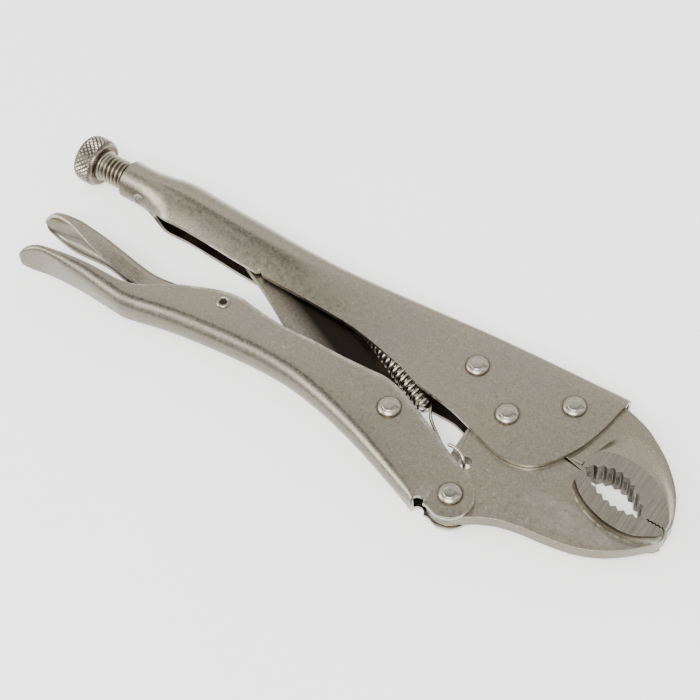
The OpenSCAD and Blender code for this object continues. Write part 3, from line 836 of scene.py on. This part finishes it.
def lever_inside():
    """Inside of the release lever, satin with painted brown shade along the corner."""
    n = Nodes("lever_inside")
    fine, patch = n.noise(2600, 3), n.noise(120, 4)
    colour = n.mix(n.span(patch, 0.4, 0.7), (0.29, 0.27, 0.22), (0.24, 0.215, 0.165))
    # Painted brown shade along the inner corner of the channel
    corner = n.math("ADD", n.across((0.215, 0, 0.977), (5, 0, 2)), n.span(patch, 0.3, 0.7, -0.9, 0.9))
    colour = n.mix(n.span(corner, 0, 1.4, 0, 0.9), colour, (0.125, 0.085, 0.04))
    colour = n.scaled(colour, n.span(fine, 0.3, 0.7, 0.86, 1.14))
    return n.finish(colour, n.span(patch, 0.3, 0.7, 0.38, 0.5), [(fine, 0.00005, 0.5)])


def jaw_metal():
    # The ring round the jaw pivot's rivet head is painted shade
    return satin("satin_nickel_jaw", (0.3, 0.273, 0.218), rough=0.36, grain=0.22,
                 rivet_ring_shade=(PIVOT_C,), seed=0.4)


def ground_pad():
    """Ground face of a jaw, with fine grinding lines across it."""
    n = Nodes("ground_pad")
    lines = n.noise(1900, 3, 0.7, stretch=(1, 0.03, 1), seed=0.2)
    fine, broad = n.noise(2600, 2), n.noise(90, 3)
    tone = n.math("ADD", n.span(lines, 0.3, 0.7, 0.78, 1.18), n.span(fine, 0.3, 0.7, -0.08, 0.08))
    colour = n.scaled(n.mix(n.span(broad, 0.3, 0.7), (0.285, 0.262, 0.215), (0.25, 0.23, 0.185)), tone)
    colour = n.mix(n.math("MULTIPLY", n.worn(), 0.6), colour, (0.6, 0.56, 0.48))
    rough = n.span(lines, 0.3, 0.7, 0.32, 0.44)
    return n.finish(colour, rough, [(lines, 0.00005, 0.45), (fine, 0.00004, 0.4)])


def pad_side():
    """Side of the lower pad: painted shade under its edge, with a bright beaten foot."""
    n = Nodes("pad_side")
    height = n.math("ABSOLUTE", n.across((0, 0, 1), (0, 0, 0)))
    fine, patch = n.noise(1500, 3), n.noise(420, 4)
    # Painted shade: darker toward the top of the side, under the pad's edge
    colour = n.mix(n.span(height, 4.2, 5.4), (0.17, 0.152, 0.115), (0.035, 0.027, 0.017))
    foot = n.math("MULTIPLY", n.span(height, 3.0, 3.5, 1, 0), n.span(patch, 0.42, 0.58))
    colour = n.mix(n.math("MULTIPLY", foot, 0.8), colour, (0.56, 0.52, 0.45))
    colour = n.scaled(colour, n.span(fine, 0.3, 0.7, 0.8, 1.2))
    return n.finish(colour, 0.36, [(patch, 0.0003, 0.5), (fine, 0.00008, 0.5)])


def tooth_metal():
    """Dark, oily tooth faces with bright worn crests."""
    n = Nodes("tooth_metal")
    fine, patch = n.noise(2000, 3), n.noise(330, 4, stretch=(1, 1, 0.35))
    colour = n.mix(n.span(patch, 0.35, 0.68), (0.05, 0.04, 0.028), (0.22, 0.195, 0.155))
    colour = n.scaled(colour, n.span(fine, 0.3, 0.7, 0.8, 1.2))
    colour = n.mix(n.math("MULTIPLY", n.worn(0.52, 0.62), 0.8), colour, (0.55, 0.52, 0.46))
    return n.finish(colour, n.span(patch, 0.3, 0.7, 0.3, 0.48), [(fine, 0.00008, 0.5)], 0.95)


def link_metal():
    # The link's face is painted near-black as shade past a line toward the body
    upper = ((0.4, 0.916, 0), (84, 2.4, 0), -15.5, -8.5)
    return satin("satin_link", (0.235, 0.212, 0.17), rough=0.38, grain=0.28, seed=0.9, shade=upper)


def rivet_metal():
    """Bright rolled rivet head with a brownish painted shade round its base."""
    n = Nodes("bright_rivet")
    split = n.add("ShaderNodeSeparateXYZ")
    n.join(n.place, split.inputs[0])
    x, y = split.outputs[0], split.outputs[1]
    away = n.math("SQRT", n.math("ADD", n.math("MULTIPLY", x, x), n.math("MULTIPLY", y, y)))
    patch, fine = n.noise(420, 4), n.noise(2600, 3)
    base = n.scaled(n.mix(n.span(patch, 0.35, 0.65), (0.4, 0.375, 0.32), (0.3, 0.275, 0.225)),
                    n.span(fine, 0.3, 0.7, 0.92, 1.08))
    # Painted brown shade round the base of the head
    low = n.math("MULTIPLY", n.span(away, 0.0033, 0.00385), n.span(patch, 0.3, 0.6, 0.35, 0.8))
    colour = n.mix(low, base, (0.13, 0.095, 0.055))
    rough = n.math("ADD", n.span(patch, 0.3, 0.7, 0.18, 0.28), n.span(away, 0.003, 0.0039, 0, 0.14))
    return n.finish(colour, rough, [(patch, 0.00008, 0.2), (fine, 0.00003, 0.4)])


def thread_metal():
    """Plated thread, dark in its roots."""
    n = Nodes("plated_thread")
    split = n.add("ShaderNodeSeparateXYZ")
    n.join(n.place, split.inputs[0])
    y, z = split.outputs[1], split.outputs[2]
    away = n.math("SQRT", n.math("ADD", n.math("MULTIPLY", y, y), n.math("MULTIPLY", z, z)))
    patch, fine = n.noise(500, 4), n.noise(2600, 3)
    crest = n.span(away, 0.0044, 0.0052)
    colour = n.mix(crest, (0.11, 0.088, 0.056), (0.33, 0.3, 0.24))
    colour = n.scaled(colour, n.math("ADD", n.span(patch, 0.3, 0.7, 0.8, 1.1),
                                     n.span(fine, 0.3, 0.7, -0.1, 0.1)))
    return n.finish(colour, n.span(patch, 0.3, 0.7, 0.24, 0.42), [(fine, 0.00006, 0.5)])


def knurl_metal():
    """Plated knurl: bright diamond tops over darker grooves."""
    n = Nodes("plated_knurl")
    split = n.add("ShaderNodeSeparateXYZ")
    n.join(n.place, split.inputs[0])
    y, z = split.outputs[1], split.outputs[2]
    away = n.math("SQRT", n.math("ADD", n.math("MULTIPLY", y, y), n.math("MULTIPLY", z, z)))
    patch, fine = n.noise(300, 4), n.noise(2400, 3)
    groove = n.math("MULTIPLY", n.span(away, 0.0085, 0.0087, 1, 0), n.span(away, 0.0082, 0.00838))
    dish = n.math("MULTIPLY", n.span(away, 0.0069, 0.0075, 1, 0), n.span(patch, 0.3, 0.6, 0.6, 0.9))
    colour = n.mix(n.span(away, 0.0085, 0.0089), (0.24, 0.215, 0.17), (0.5, 0.465, 0.4))
    colour = n.mix(n.math("MULTIPLY", groove, 0.65), colour, (0.06, 0.046, 0.028))
    colour = n.mix(dish, colour, (0.15, 0.12, 0.075))
    colour = n.scaled(colour, n.math("ADD", n.span(patch, 0.3, 0.7, 0.85, 1.08),
                                     n.span(fine, 0.3, 0.7, -0.08, 0.08)))
    return n.finish(colour, n.span(patch, 0.3, 0.7, 0.2, 0.36), [(fine, 0.00005, 0.5)])


def spring_wire():
    n = Nodes("spring_wire")
    patch, fine = n.noise(600, 4), n.noise(2600, 3)
    colour = n.mix(n.span(patch, 0.35, 0.65), (0.56, 0.52, 0.44), (0.38, 0.345, 0.28))
    colour = n.scaled(colour, n.span(fine, 0.3, 0.7, 0.88, 1.12))
    return n.finish(colour, n.span(patch, 0.3, 0.7, 0.2, 0.36), [(fine, 0.00004, 0.4)])


def pale_paper():
    n = Nodes("pale_floor")
    fine, broad = n.noise(900, 3), n.noise(6, 3)
    colour = n.scaled(n.mix(n.span(broad, 0.3, 0.7), (0.93, 0.93, 0.925), (0.9, 0.9, 0.895)),
                      n.span(fine, 0.3, 0.7, 0.985, 1.015))
    n.shader.inputs["Emission Color"].default_value = (1, 1, 1, 1)
    n.shader.inputs["Emission Strength"].default_value = 1.0
    return n.finish(colour, 0.75, [(fine, 0.00005, 0.1)], 0.0, 0.2)


# ---------- stage ----------
def add_floor():
    bpy.ops.mesh.primitive_plane_add(size=6, location=(0, 0, FLOOR_Z))
    floor = bpy.context.object
    floor.name = "floor"
    floor.data.materials.append(pale_paper())


def add_light(name, place, aim, size, power, colour=(1, 1, 1)):
    data = bpy.data.lights.new(name, "AREA")
    data.shape = "RECTANGLE"
    data.size, data.size_y = size
    data.energy = power
    data.color = colour
    lamp = bpy.data.objects.new(name, data)
    lamp.location = place
    lamp.rotation_mode = "QUATERNION"
    lamp.rotation_quaternion = (Vector(aim) - Vector(place)).to_track_quat("-Z", "Y")
    bpy.context.scene.collection.objects.link(lamp)
    return lamp


def add_surroundings():
    """White tent: pale all round, with one bright and one dark band for the bends to reflect."""
    world = bpy.data.worlds.new("tent")
    bpy.context.scene.world = world
    world.use_nodes = True
    tree = world.node_tree
    back = tree.nodes["Background"]
    way = tree.nodes.new("ShaderNodeTexCoord")
    split = tree.nodes.new("ShaderNodeSeparateXYZ")
    tree.links.new(way.outputs["Generated"], split.inputs[0])
    side = tree.nodes.new("ShaderNodeVectorMath")
    side.operation = "DOT_PRODUCT"
    side.inputs[1].default_value = (-0.64, 0.77, 0)
    tree.links.new(way.outputs["Generated"], side.inputs[0])
    tilt = tree.nodes.new("ShaderNodeMath")
    tilt.operation = "ARCTAN2"
    tree.links.new(side.outputs["Value"], tilt.inputs[0])
    tree.links.new(split.outputs[2], tilt.inputs[1])
    share = tree.nodes.new("ShaderNodeMapRange")
    share.inputs["From Min"].default_value = -math.pi / 2
    share.inputs["From Max"].default_value = math.pi / 2
    tree.links.new(tilt.outputs[0], share.inputs["Value"])
    ramp = tree.nodes.new("ShaderNodeValToRGB")
    bands = [(-90, 0.9), (-40, 0.95), (-20, 1.1), (-13, 1.2), (-9, 2.8), (-4, 2.8), (0, 1.2),
             (15, 1.15), (18, 0.1), (27, 0.08), (30, 1.7), (37, 1.9), (46, 1.35), (90, 1.3)]
    elements = ramp.color_ramp.elements
    elements.remove(elements[1])
    for k, (degrees, level) in enumerate(bands):
        spot = (degrees + 90) / 180
        e = elements[0] if k == 0 else elements.new(spot)
        e.position = spot
        e.color = (level, level * 0.99, level * 0.97, 1)
    tree.links.new(share.outputs[0], ramp.inputs[0])
    tree.links.new(ramp.outputs[0], back.inputs["Color"])
    back.inputs["Strength"].default_value = 1.0


def add_camera():
    data = bpy.data.cameras.new("camera")
    data.sensor_width = 36
    data.lens = CAMERA_LENS
    data.shift_y = CAMERA_SHIFT
    data.clip_start = 0.01
    cam = bpy.data.objects.new("camera", data)
    heading, tip, roll = (Matrix.Rotation(a, 3, axis) for a, axis in zip(CAMERA_TURN, "ZXZ"))
    cam.matrix_world = Matrix.Translation(CAMERA_PLACE) @ (heading @ tip @ roll).to_4x4()
    bpy.context.scene.collection.objects.link(cam)
    bpy.context.scene.camera = cam


# ---------- assembly ----------
def dress(obj, materials, body, slot, *nodes):
    for material in materials:
        obj.data.materials.append(material)
    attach(obj, body)
    if nodes:
        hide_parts(*nodes)


tube_skin = sheet_metal("satin_nickel_tube", (-0.02, -0.055, -0.09, -0.15, 20, 98))
sheet = sheet_metal("satin_nickel_channel", (-0.02, -0.12, -0.28, -0.46, 14, 172))
# inside is the near-black painted shade for the inner faces and hollows
inside, edge, jaw = shade_black_inside(), cut_edge(), jaw_metal()
pads, teeth, side, rivets = ground_pad(), tooth_metal(), pad_side(), rivet_metal()

dress(make_body(), [tube_skin, inside, edge], "fixed_handle", "nickel_sheet", "body")
dress(make_tab(), [tube_skin], "fixed_handle", "nickel_sheet")
dress(make_stake(), [tube_skin], "fixed_handle", "nickel_sheet")
upper = make_upper_jaw()
dress(upper[0], [jaw], "fixed_handle", "jaw_steel", "upper_jaw")
for part in upper[1:]:
    dress(part, [jaw, pads, teeth, jaw], "fixed_handle", "jaw_steel")
lower = make_lower_jaw()
dress(lower[0], [jaw], "moving_jaw", "jaw_steel", "lower_jaw")
dress(lower[1], [jaw, pads, teeth, side], "moving_jaw", "jaw_steel")
dress(make_handle(), [sheet, inside, edge], "moving_handle", "nickel_sheet", "lower_handle")
dress(make_lever(), [sheet, lever_inside(), edge], "lever", "nickel_sheet", "release_lever")
dress(make_link(), [link_metal()], "link", "link_steel", "toggle_link")
link_half = smooth(HANDLE_HALF, PIVOT_E[0] - HEAD_R) + 0.01
for name, node, place, half, body in (
        ("rivet_jaw_rear", "jaw_rivet_rear", RIVET_A, WALL_HALF, "fixed_handle"),
        ("rivet_jaw_front", "jaw_rivet_front", RIVET_B, WALL_HALF, "fixed_handle"),
        ("rivet_jaw_pivot", "jaw_pivot_rivet", PIVOT_C, WALL_HALF, "fixed_handle"),
        ("rivet_handle_pivot", "handle_pivot_rivet", PIVOT_D, WALL_HALF, "moving_handle"),
        ("rivet_link", "link_rivet", PIVOT_E, link_half, "moving_handle")):
    dress(make_rivet(name, place, half), [rivets], body, "rivet_steel", node)
dress(make_tube_rivet(smooth(HANDLE_HALF, PIVOT_G[0]) + 0.03), [rivets, inside], "moving_handle",
      "rivet_steel", "lever_rivet")
dress(make_screw(), [thread_metal()], "screw", "screw_steel", "adjusting_screw")
dress(make_knob(), [knurl_metal()], "knob", "knob_steel", "screw_knob")
spring = make_spring()
dress(spring, [spring_wire()], "fixed_handle", "spring_steel", "return_spring")
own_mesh(spring)

add_floor()
add_surroundings()
add_light("high_key", (0.25, -0.75, 1.2), (0, 0, 0), (0.9, 0.7), 20)
add_light("left_fill", (-1.1, -0.75, 0.8), (0, 0, 0), (0.8, 0.8), 12)
add_camera()
